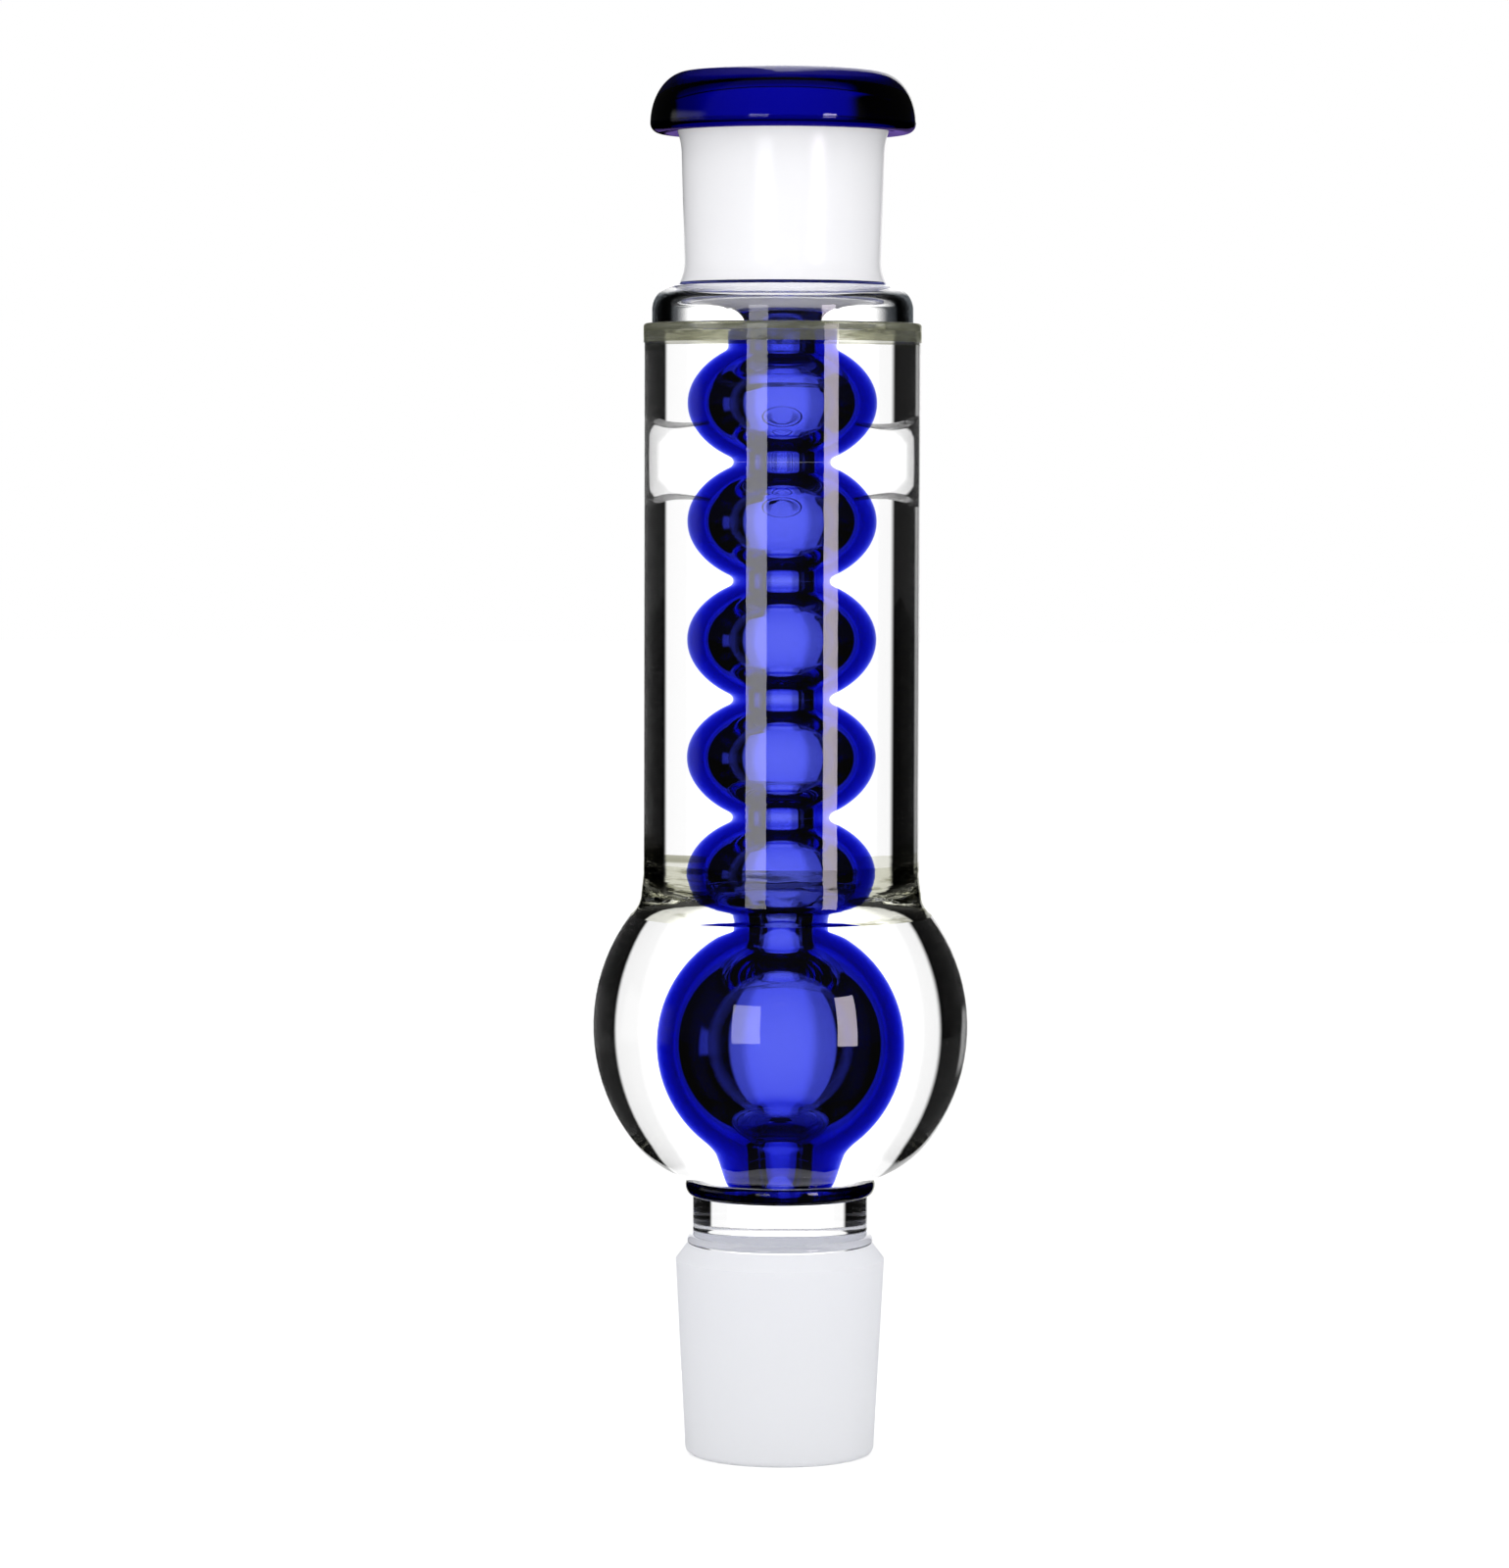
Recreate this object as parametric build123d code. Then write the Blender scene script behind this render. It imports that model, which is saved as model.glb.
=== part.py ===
"""Allihn bulb condenser with a sealed coolant jacket, fused glass, millimetres.

The condenser stands on the lower end of its ground cone with its axis on +Z and
the origin on the table, under the middle of the cone. Every piece but the fill port is
turned about that axis. A string of five cobalt glass bulbs and one larger bulb runs down
inside a clear jacket. The jacket is filled with glycerine and closed for good, so
the condenser has no hose connections. Vapour enters by the opal neck and leaves by
the ground cone.
"""
import math
import os

from build123d import *

# Ground cone, standard taper 34/35
CONE_LARGE_DIAMETER = 34.5
CONE_LENGTH = 35.0
CONE_TAPER = 0.1
CONE_WALL = 2.7
CONE_BEVEL_HEIGHT = 2.7
CONE_TIP_ROUNDING = 1.1

# Clear neck between the cone and the jacket
LOWER_NECK_DIAMETER = 29.0
LOWER_NECK_WALL = 2.1
LOWER_NECK_LENGTH = 6.5
CONE_SEAL_HEIGHT = 1.4
CONE_SEAL_PROUD = 0.7
CONE_SEAL_BEAD = 0.175
LOWER_SEAL_HEIGHT = 2.7
LOWER_SEAL_BEAD = 0.45

# Clear outer jacket
JACKET_WALL = 2.0
BULB_DIAMETER = 61.9
BULB_FOOT_PROUD = 0.7
BULB_FOOT_RAISED = 1.66
BULB_EDGE_PROUD = 2.19
TUBE_DIAMETER = 45.4
MIDDLE_SEAL_PROUD = 0.35
MIDDLE_SEAL_TAPER_LENGTH = 3.0
MIDDLE_SEAL_HEIGHT = 9.0
TUBE_TOP_ABOVE_BULB = 112.5
UPPER_SEAL_HEIGHT = 3.1
UPPER_SEAL_PROUD = 0.1
UPPER_SEAL_ROUNDING = 0.5
SHOULDER_INSET = 1.3
SHOULDER_HEIGHT = 6.2
SHOULDER_CORNER = 4.0
FILL_LEVEL_BELOW_SHOULDER = 1.3

# Cobalt glass bulb string inside the jacket
STRING_WALL = 1.8
SMALL_BULB_COUNT = 5
SMALL_BULB_OVERLAP = 0.93
TOP_BULB_ABOVE_TUBE = 0.7
LINK_GAP = 2.84
LARGE_BULB_DIAMETER = 27.8
LARGE_BULB_BELOW_BULB_CENTRE = 2.1
WAIST_FILLET = 1.1
LINK_DIAMETER = 11.0
STUB_DIAMETER = 12.2
TAIL_DIAMETER = 12.8
TAIL_FILLET = 6.0
PASSAGE_DIAMETER = 7.6
PASSAGE_FILLET = 1.0
LARGE_BULB_CAP = 0.5

# Opal neck, funnel and rolled lip
NECK_BORE = 25.5
NECK_WALL = 3.6
NECK_BASE_PROUD = 0.55
NECK_TOP_PROUD = 0.95
NECK_LENGTH = 24.7
NECK_DRAW_IN = 0.5
NECK_FLARE_HEIGHT = 3.6
NECK_SEAL_HEIGHT = 0.5
NECK_SEAL_PROUD = 0.1
FUNNEL_WALL = 2.45
FUNNEL_FLARE = 3.1
FUNNEL_DEPTH = 3.8
FUNNEL_LEAN = 0.1
LIP_WIDTH = 9.0
LIP_HEIGHT = 9.6
LIP_CROWN_HEIGHT = 8.5
LIP_ROLL = 2.75
LIP_CORNER = 1.6
LIP_DROOP = 1.0

# Fill port on the back of the tube
PORT_BUTTON_DIAMETER = 15.3
PORT_BUTTON_PROUD = 1.7
PORT_BUTTON_ROOT = 2.0
PORT_DISH_DIAMETER = 11.8
PORT_DISH_DEPTH = 1.4
PORT_HOLE_DIAMETER = 5.0
PORT_BELOW_SEAL = 19.4
PORT_EDGE_ROUNDING = 0.8

# Radii, from the axis outwards
lower_neck_radius = LOWER_NECK_DIAMETER / 2
lower_neck_bore = lower_neck_radius - LOWER_NECK_WALL
foot_radius = lower_neck_radius + BULB_FOOT_PROUD
bulb_radius = BULB_DIAMETER / 2
tube_radius = TUBE_DIAMETER / 2
tube_bore_radius = tube_radius - JACKET_WALL
bulb_edge_radius = tube_radius + BULB_EDGE_PROUD
shoulder_radius = tube_radius - SHOULDER_INSET
shoulder_bore_radius = shoulder_radius - JACKET_WALL
large_bulb_radius = LARGE_BULB_DIAMETER / 2
stub_radius = STUB_DIAMETER / 2
link_radius = LINK_DIAMETER / 2
tail_radius = TAIL_DIAMETER / 2
passage_radius = PASSAGE_DIAMETER / 2
opal_bore_radius = NECK_BORE / 2
opal_radius = opal_bore_radius + NECK_WALL
opal_base_radius = opal_radius + NECK_BASE_PROUD
opal_top_radius = opal_radius + NECK_TOP_PROUD
collar_radius = opal_bore_radius + FUNNEL_WALL
outlet_radius = stub_radius + FUNNEL_FLARE
outlet_bore_radius = passage_radius + FUNNEL_FLARE

# Heights of the seams, from the table upwards
bulb_edge_rise = math.sqrt(bulb_radius**2 - bulb_edge_radius**2)
bulb_foot_drop = math.sqrt(bulb_radius**2 - foot_radius**2) - BULB_FOOT_RAISED
cone_top = CONE_LENGTH
lower_neck_bottom = cone_top + CONE_SEAL_HEIGHT
floor_bottom = lower_neck_bottom + LOWER_NECK_LENGTH
bulb_bottom = floor_bottom + LOWER_SEAL_HEIGHT
bulb_centre = bulb_bottom + bulb_foot_drop
middle_seal_bottom = bulb_centre + bulb_edge_rise
middle_seal_top = middle_seal_bottom + MIDDLE_SEAL_HEIGHT
tube_top = bulb_centre + TUBE_TOP_ABOVE_BULB
shoulder_bottom = tube_top + UPPER_SEAL_HEIGHT
shoulder_top = shoulder_bottom + SHOULDER_HEIGHT
opal_bottom = shoulder_top + NECK_SEAL_HEIGHT
lip_bottom = opal_bottom + NECK_LENGTH
collar_bottom = shoulder_top - JACKET_WALL
funnel_bottom = shoulder_top - FUNNEL_DEPTH
fill_level = shoulder_bottom - FILL_LEVEL_BELOW_SHOULDER
port_height = tube_top - PORT_BELOW_SEAL

# The small bulbs share the length between the large bulb and the top of the tube
large_bulb_centre = bulb_centre - LARGE_BULB_BELOW_BULB_CENTRE
small_bulbs_bottom = large_bulb_centre + large_bulb_radius + LINK_GAP
small_bulbs_top = tube_top + TOP_BULB_ABOVE_TUBE
small_bulb_pitch = (small_bulbs_top - small_bulbs_bottom
                    - 2 * SMALL_BULB_OVERLAP) / SMALL_BULB_COUNT
small_bulb_radius = small_bulb_pitch / 2 + SMALL_BULB_OVERLAP
small_bulb_centres = [small_bulbs_top - small_bulb_radius - i * small_bulb_pitch
                      for i in range(SMALL_BULB_COUNT)]

# How far the tools that cut a piece to length reach, beyond any piece
reach = BULB_DIAMETER


def arc(centre, start, end):
    """The shorter circular arc about a centre, from one point to another."""
    first = math.atan2(start[1] - centre[1], start[0] - centre[0])
    last = math.atan2(end[1] - centre[1], end[0] - centre[0])
    turn = (last - first + math.pi) % (2 * math.pi) - math.pi
    return CenterArc(centre, math.dist(centre, start), math.degrees(first), math.degrees(turn))


def turned(*edges):
    """Turn a closed half section, drawn as radius and height, about the Z axis."""
    return revolve(Plane.XZ * make_face(list(edges)), Axis.Z)


def turned_from(points):
    """Turn a half section with straight sides."""
    return turned(*Polyline(*points, points[0]).edges())


def between(solid, low, high):
    """The part of a turned solid between two heights."""
    slab = Pos(0, 0, low) * Box(2 * reach, 2 * reach, high - low,
                                align=(Align.CENTER, Align.CENTER, Align.MIN))
    return solid & slab


def bar(radius, low, high):
    """A round bar between two heights."""
    return Pos(0, 0, low) * Cylinder(radius, high - low,
                                     align=(Align.CENTER, Align.CENTER, Align.MIN))


def pipe(radius, bore, low, high):
    """A plain tube between two heights."""
    return bar(radius, low, high) - bar(bore, low, high)


def string_piece(low, high):
    """A length of the bulb string, hollow."""
    return between(string, low, high) - between(passage, low, high)


def on_ball(radius, centre, rise):
    """The point of a ball's outline at a height above its centre."""
    return (math.sqrt(radius**2 - rise**2), centre + rise)


def jacket_outline(wall):
    """Outline of the jacket from its foot to its shoulder, set in by a wall."""
    ball = bulb_radius - wall
    shrink = ball / bulb_radius
    foot = (foot_radius if wall == 0 else lower_neck_bore, bulb_bottom)
    heel = on_ball(ball, bulb_centre, -bulb_edge_rise * shrink)
    crest = on_ball(ball, bulb_centre, bulb_edge_rise * shrink)
    throat_radius = tube_radius + MIDDLE_SEAL_PROUD - wall
    lean = math.acos(crest[0] / ball)
    throat_arc = (crest[0] - throat_radius) / (1 - math.sin(lean))
    throat = (throat_radius, crest[1] + throat_arc * math.cos(lean))
    throat_centre = (throat_radius + throat_arc, throat[1])
    tube_start = (tube_radius - wall, throat[1] + MIDDLE_SEAL_TAPER_LENGTH)
    tube_end = (tube_radius - wall, tube_top)
    heel_tangent = (heel[1] - bulb_centre, -heel[0])
    return [
        TangentArc(heel, foot, tangent=heel_tangent),
        arc((0, bulb_centre), heel, crest),
        arc(throat_centre, crest, throat),
        Line(throat, tube_start),
        Line(tube_start, tube_end),
    ], foot, tube_end


def jacket_envelope():
    """The clear jacket as if it were solid."""
    sides, foot, tube_end = jacket_outline(0)
    seal_radius = tube_radius + UPPER_SEAL_PROUD
    corner_height = shoulder_top - SHOULDER_CORNER
    corner_radius = shoulder_radius - SHOULDER_CORNER
    rim = (seal_radius, shoulder_bottom - UPPER_SEAL_ROUNDING)
    ledge = (seal_radius - UPPER_SEAL_ROUNDING, shoulder_bottom)
    return turned(
        *sides,
        Line(tube_end, (seal_radius, tube_top)),
        Line((seal_radius, tube_top), rim),
        arc((ledge[0], rim[1]), rim, ledge),
        Line(ledge, (shoulder_radius, shoulder_bottom)),
        Line((shoulder_radius, shoulder_bottom), (shoulder_radius, corner_height)),
        arc((corner_radius, corner_height), (shoulder_radius, corner_height),
            (corner_radius, shoulder_top)),
        Line((corner_radius, shoulder_top), (0, shoulder_top)),
        Line((0, shoulder_top), (0, bulb_bottom)),
        Line((0, bulb_bottom), foot),
    )


def jacket_cavity():
    """The space inside the jacket, from its floor to the underside of its shoulder."""
    sides, foot, tube_end = jacket_outline(JACKET_WALL)
    ceiling = shoulder_top - JACKET_WALL
    corner = SHOULDER_CORNER - JACKET_WALL
    corner_height = ceiling - corner
    corner_radius = shoulder_bore_radius - corner
    return turned(
        *sides,
        Line(tube_end, (shoulder_bore_radius, shoulder_bottom)),
        Line((shoulder_bore_radius, shoulder_bottom), (shoulder_bore_radius, corner_height)),
        arc((corner_radius, corner_height), (shoulder_bore_radius, corner_height),
            (corner_radius, ceiling)),
        Line((corner_radius, ceiling), (0, ceiling)),
        Line((0, ceiling), (0, bulb_bottom)),
        Line((0, bulb_bottom), foot),
    )


def fillet_on_tube(centre, radius, tube, fillet, side):
    """Fillet between a ball and a tube above it (side 1) or below it (side -1)."""
    rise = math.sqrt((radius + fillet)**2 - (tube + fillet)**2)
    middle = (tube + fillet, centre + side * rise)
    share = radius / (radius + fillet)
    return middle, (middle[0] * share, centre + side * rise * share), (tube, middle[1])


def fillet_between_balls(high, low, radius, fillet):
    """Fillet in the waist between two equal balls."""
    half = (high - low) / 2
    middle = (math.sqrt((radius + fillet)**2 - half**2), high - half)
    share = radius / (radius + fillet)
    touch = half * share
    return middle, (middle[0] * share, high - touch), (middle[0] * share, low + touch)


def flare(radius, mouth):
    """Quarter arc that opens a tube into the foot of the funnel."""
    centre = (mouth, funnel_bottom - (mouth - radius))
    return arc(centre, (radius, centre[1]), (mouth, funnel_bottom))


def string_envelope():
    """The cobalt bulb string as if it were solid, from the funnel to the floor."""
    edges = [flare(stub_radius, outlet_radius)]
    here = edges[0] @ 0
    middle, on_bulb, on_tube = fillet_on_tube(
        small_bulb_centres[0], small_bulb_radius, stub_radius, WAIST_FILLET, 1)
    edges += [Line(here, on_tube), arc(middle, on_tube, on_bulb)]
    here = on_bulb
    for high, low in zip(small_bulb_centres, small_bulb_centres[1:]):
        middle, leave, enter = fillet_between_balls(high, low, small_bulb_radius, WAIST_FILLET)
        edges += [arc((0, high), here, leave), arc(middle, leave, enter)]
        here = enter
    last = small_bulb_centres[-1]
    middle, leave, on_tube = fillet_on_tube(last, small_bulb_radius, link_radius,
                                            WAIST_FILLET, -1)
    edges += [arc((0, last), here, leave), arc(middle, leave, on_tube)]
    middle, on_bulb, enter = fillet_on_tube(large_bulb_centre, large_bulb_radius, link_radius,
                                            WAIST_FILLET, 1)
    edges += [Line(on_tube, enter), arc(middle, enter, on_bulb)]
    here = on_bulb
    middle, leave, on_tube = fillet_on_tube(large_bulb_centre, large_bulb_radius, tail_radius,
                                            TAIL_FILLET, -1)
    edges += [arc((0, large_bulb_centre), here, leave), arc(middle, leave, on_tube)]
    edges += [
        Line(on_tube, (tail_radius, floor_bottom)),
        Line((tail_radius, floor_bottom), (0, floor_bottom)),
        Line((0, floor_bottom), (0, funnel_bottom)),
        Line((0, funnel_bottom), (outlet_radius, funnel_bottom)),
    ]
    return turned(*edges)


def string_passage():
    """The vapour passage through the bulb string."""
    edges = [flare(passage_radius, outlet_bore_radius)]
    here = edges[0] @ 0
    small = [(centre, small_bulb_radius - STRING_WALL) for centre in small_bulb_centres]
    large = [(large_bulb_centre, large_bulb_radius - STRING_WALL)]
    for centre, radius in small + large:
        middle, on_bulb, on_tube = fillet_on_tube(centre, radius, passage_radius,
                                                  PASSAGE_FILLET, 1)
        mirror, off_bulb, off_tube = fillet_on_tube(centre, radius, passage_radius,
                                                    PASSAGE_FILLET, -1)
        edges += [
            Line(here, on_tube),
            arc(middle, on_tube, on_bulb),
            arc((0, centre), on_bulb, off_bulb),
            arc(mirror, off_bulb, off_tube),
        ]
        here = off_tube
    edges += [
        Line(here, (passage_radius, floor_bottom)),
        Line((passage_radius, floor_bottom), (0, floor_bottom)),
        Line((0, floor_bottom), (0, funnel_bottom)),
        Line((0, funnel_bottom), (outlet_bore_radius, funnel_bottom)),
    ]
    return turned(*edges)


def ground_joint():
    """Frosted standard taper cone with a bevelled shoulder and a rounded tip."""
    large = CONE_LARGE_DIAMETER / 2
    bevel_bottom = cone_top - CONE_BEVEL_HEIGHT
    slope = CONE_TAPER / 2
    tip = large - slope * bevel_bottom
    bore = large - CONE_WALL
    bore_tip = tip - CONE_WALL
    shoulder = lower_neck_radius + CONE_SEAL_PROUD
    blank = turned_from([
        (bore_tip, 0), (tip, 0), (large, bevel_bottom), (shoulder, cone_top),
        (lower_neck_bore, cone_top), (bore, bevel_bottom - CONE_BEVEL_HEIGHT / 2),
    ])
    return fillet(blank.edges().group_by(Axis.Z)[0], CONE_TIP_ROUNDING)


def seal_ring(bore, low_radius, high_radius, proud, low, high):
    """Fused seam between two tubes, standing proud as a low bead."""
    crown = max(low_radius, high_radius) + proud
    middle = (low + high) / 2
    return turned(
        Line((bore, low), (low_radius, low)),
        ThreePointArc((low_radius, low), (crown, middle), (high_radius, high)),
        Line((high_radius, high), (bore, high)),
        Line((bore, high), (bore, low)),
    )


def opal_neck():
    """White opal tube, drawn in slightly above its base and flared under the lip."""
    base = (opal_base_radius, opal_bottom)
    top = (opal_top_radius, lip_bottom)
    low = (opal_radius - NECK_DRAW_IN / 2, opal_bottom + NECK_FLARE_HEIGHT)
    high = (opal_radius + NECK_DRAW_IN / 2, lip_bottom - NECK_FLARE_HEIGHT)
    along = (high[0] - low[0], high[1] - low[1])
    return turned(
        Line((opal_bore_radius, opal_bottom), base),
        TangentArc(low, base, tangent=(-along[0], -along[1])),
        Line(low, high),
        TangentArc(high, top, tangent=along),
        Line(top, (opal_bore_radius, lip_bottom)),
        Line((opal_bore_radius, lip_bottom), (opal_bore_radius, opal_bottom)),
    )


def opal_funnel():
    """White opal funnel that carries the bulb string under the neck."""
    rim = (opal_bore_radius, shoulder_top)
    collar = (collar_radius, collar_bottom)
    outlet = (outlet_radius, funnel_bottom)
    outlet_bore = (outlet_bore_radius, funnel_bottom)
    return turned(
        Line(rim, (collar_radius, shoulder_top)),
        Line((collar_radius, shoulder_top), collar),
        TangentArc(collar, outlet, tangent=(-1, -FUNNEL_LEAN)),
        Line(outlet, outlet_bore),
        TangentArc(outlet_bore, rim, tangent=(1, 0)),
    )


def mouth_lip():
    """Rolled cobalt lip: an elliptical crown, and an underside that droops past the neck."""
    rim = opal_bore_radius + LIP_WIDTH
    crown = opal_bore_radius + LIP_ROLL
    top = lip_bottom + LIP_HEIGHT
    belly = top - LIP_CROWN_HEIGHT
    corner = (rim - LIP_CORNER, lip_bottom - LIP_DROOP + LIP_CORNER)
    underside = (corner[0], lip_bottom - LIP_DROOP)
    return turned(
        Line((opal_bore_radius, lip_bottom), (opal_top_radius, lip_bottom)),
        TangentArc(underside, (opal_top_radius, lip_bottom), tangent=(-1, 0)),
        CenterArc(corner, LIP_CORNER, -90, 90),
        Line((rim, corner[1]), (rim, belly)),
        EllipticalCenterArc((crown, belly), rim - crown, LIP_CROWN_HEIGHT, 0, arc_size=90),
        CenterArc((crown, top - LIP_ROLL), LIP_ROLL, 90, 90),
        Line((opal_bore_radius, top - LIP_ROLL), (opal_bore_radius, lip_bottom)),
    )


def fill_port():
    """Button of melted glass that closes the fill hole, sunk in the middle of its face."""
    height = PORT_BUTTON_PROUD + PORT_BUTTON_ROOT
    button = fillet(bar(PORT_BUTTON_DIAMETER / 2, 0, height).edges().group_by(Axis.Z)[-1],
                    PORT_EDGE_ROUNDING)
    dish_radius = (PORT_DISH_DIAMETER**2 / 4 + PORT_DISH_DEPTH**2) / (2 * PORT_DISH_DEPTH)
    button -= Pos(0, 0, height - PORT_DISH_DEPTH + dish_radius) * Sphere(dish_radius)
    button = Pos(0, tube_radius - PORT_BUTTON_ROOT, port_height) * Rot(X=-90) * button
    return button - bar(tube_radius, port_height - reach, port_height + reach)


def port_plug():
    """The glass that fills the hole in the tube wall, behind the button."""
    plug = Pos(0, tube_radius, port_height) * Rot(X=-90) * Cylinder(
        PORT_HOLE_DIAMETER / 2, tube_radius)
    return plug & pipe(tube_radius, tube_bore_radius, port_height - reach, port_height + reach)


envelope = jacket_envelope()
cavity = jacket_cavity()
string = string_envelope()
passage = string_passage()
plug = port_plug()
jacket = envelope - cavity - bar(collar_radius, funnel_bottom, opal_bottom)

waists = [(high + low) / 2 for high, low in zip(small_bulb_centres, small_bulb_centres[1:])]
stub_bottom = small_bulb_centres[0] + small_bulb_pitch / 2
link_top = small_bulb_centres[-1] - small_bulb_pitch / 2
link_bottom = large_bulb_centre + large_bulb_radius - LARGE_BULB_CAP
tail_top = large_bulb_centre - large_bulb_radius + LARGE_BULB_CAP
bulb_limits = [stub_bottom] + waists + [link_top]

nodes = {
    "ground_joint": ground_joint(),
    "cone_seal_ring": seal_ring(
        lower_neck_bore, lower_neck_radius + CONE_SEAL_PROUD, lower_neck_radius,
        CONE_SEAL_BEAD, cone_top, lower_neck_bottom),
    "lower_neck": pipe(lower_neck_radius, lower_neck_bore, lower_neck_bottom, floor_bottom),
    "lower_seal_ring": seal_ring(
        lower_neck_bore, lower_neck_radius, foot_radius,
        LOWER_SEAL_BEAD, floor_bottom, bulb_bottom),
    "jacket_floor": pipe(lower_neck_bore, tail_radius, floor_bottom, bulb_bottom),
    "jacket_bulb": between(jacket, bulb_bottom, middle_seal_bottom),
    "middle_seal_ring": between(jacket, middle_seal_bottom, middle_seal_top),
    "jacket_tube": between(jacket, middle_seal_top, tube_top) - plug,
    "upper_seal_ring": between(jacket, tube_top, shoulder_bottom),
    "jacket_shoulder": between(jacket, shoulder_bottom, shoulder_top),
    "fill_port_seal": fill_port() + plug,
    "neck_seal_ring": seal_ring(
        opal_bore_radius, opal_base_radius, opal_base_radius, NECK_SEAL_PROUD,
        shoulder_top, opal_bottom),
    "opal_neck": opal_neck(),
    "opal_funnel": opal_funnel(),
    "mouth_lip": mouth_lip(),
    "inlet_stub": string_piece(stub_bottom, funnel_bottom),
    "link_neck": string_piece(link_bottom, link_top),
    "large_bulb": string_piece(tail_top, link_bottom),
    "outlet_tail": string_piece(floor_bottom, tail_top),
    "glycerine_fill": between(cavity - string, bulb_bottom, fill_level),
}
for number, (high, low) in enumerate(zip(bulb_limits, bulb_limits[1:]), start=1):
    nodes[f"condenser_bulb_{number}"] = string_piece(low, high)

os.makedirs("parts", exist_ok=True)
for name, shape in nodes.items():
    export_step(shape, f"parts/{name}.step")
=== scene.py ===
"""Looks of a bulb condenser: a cobalt bulb string in a sealed, glycerine-filled glass jacket.

Every piece is turned on its axis as on a glass lathe: its half section is drawn with
extrude steps and spun about Z. Glass and glycerine bend light alike, so a face is a
visible boundary only where it meets air. Each turned piece that bends light keeps a face
attribute, meets_air, that is 1 on those faces and 0 on faces wetted by glycerine or fused to a
neighbour.
"""
import math

import bpy
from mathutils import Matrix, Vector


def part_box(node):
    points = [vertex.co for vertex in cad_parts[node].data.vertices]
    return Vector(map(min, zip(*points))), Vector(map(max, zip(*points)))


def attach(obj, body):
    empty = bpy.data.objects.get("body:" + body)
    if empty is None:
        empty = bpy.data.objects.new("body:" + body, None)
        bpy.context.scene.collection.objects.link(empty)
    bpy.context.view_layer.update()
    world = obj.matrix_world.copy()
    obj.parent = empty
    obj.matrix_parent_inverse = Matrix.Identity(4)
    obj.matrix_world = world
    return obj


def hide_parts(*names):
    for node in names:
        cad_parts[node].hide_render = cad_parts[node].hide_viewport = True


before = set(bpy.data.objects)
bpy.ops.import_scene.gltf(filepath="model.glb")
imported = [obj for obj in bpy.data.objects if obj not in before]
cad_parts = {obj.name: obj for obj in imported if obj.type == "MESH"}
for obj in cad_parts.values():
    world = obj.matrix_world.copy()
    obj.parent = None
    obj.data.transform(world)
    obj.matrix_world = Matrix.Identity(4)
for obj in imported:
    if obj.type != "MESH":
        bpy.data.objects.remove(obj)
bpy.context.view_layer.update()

MM = 0.001
GLASS_IOR = 1.47
AROUND = 160
ARC_STEP = math.radians(4)
CROWN_STEPS = 30
BEAD_STEPS = 12
SHARP_EDGE = math.radians(25)
SAME_POINT = 1e-4
NUDGE = 0.01
SEAM_GAP = 0.004
MEETS_AIR = "meets_air"
WHITE = (1, 1, 1, 1)

# How much of a face's normal has to point one way for the face to count as facing that way
SIDEWAYS = 0.1
STEEP = 0.5
LEVEL = 0.9
DEAD_LEVEL = 0.999

# Sizes of the pieces, in millimetres
LOWER_NECK_RADIUS = 14.5
LOWER_NECK_WALL = 2.1
JACKET_WALL = 2.0
BULB_RADIUS = 30.95
BULB_FOOT_RADIUS = 15.2
BULB_REACH = 18.4
TUBE_RADIUS = 22.7
MIDDLE_SEAL_PROUD = 0.35
MIDDLE_SEAL_TAPER_LENGTH = 3.0
UPPER_SEAL_PROUD = 0.1
UPPER_SEAL_ROUNDING = 0.5
SHOULDER_RADIUS = 21.4
SHOULDER_CORNER = 4.0
STRING_WALL = 1.8
SMALL_BULB_RADIUS = 10.6
SMALL_BULB_COUNT = 5
LARGE_BULB_RADIUS = 13.9
LARGE_BULB_CAP = 0.5
WAIST_FILLET = 1.1
LINK_RADIUS = 5.5
STUB_RADIUS = 6.1
TAIL_RADIUS = 6.4
TAIL_FILLET = 6.0
PASSAGE_RADIUS = 3.8
PASSAGE_FILLET = 1.0
OPAL_BORE_RADIUS = 12.75
NECK_WALL = 3.6
NECK_BASE_RADIUS = 16.9
NECK_TOP_RADIUS = 17.3
NECK_DRAW_IN = 0.5
NECK_FLARE_HEIGHT = 3.6
FUNNEL_RADIUS = 15.2
FUNNEL_OUTLET_RADIUS = 9.2
FUNNEL_OUTLET_BORE = 6.9
FUNNEL_SLOPE = 0.1
NECK_SEAL_PROUD = 0.1
LIP_RADIUS = 21.75
LIP_CROWN_HEIGHT = 8.5
LIP_CROWN_RADIUS = 15.5
LIP_CORNER = 1.6
LIP_DROOP = 0.35
CONE_LARGE_RADIUS = 17.25
CONE_TAPER = 0.05
CONE_WALL = 2.7
CONE_BEVEL_HEIGHT = 2.7
CONE_TIP_ROUNDING = 1.1
CONE_SEAL_PROUD = 0.7
LOWER_SEAL_PROUD = 0.45
PORT_RADIUS = 7.65
PORT_ROOT = 2
PORT_PROUD = 1.7
PORT_ROUNDING = 0.8
PORT_DISH_RADIUS = 5.9
PORT_DISH_DEPTH = 1.4
PORT_CUTTER_LENGTH = 40

# Where the looks change, in millimetres from a seam or a level: the painted shade on the lip's
# underside, and the liquid's surface
LIP_SHADE_FULL = 0.4
LIP_SHADE_NONE = 1.6
SURFACE_DEPTH = 0.05
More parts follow.
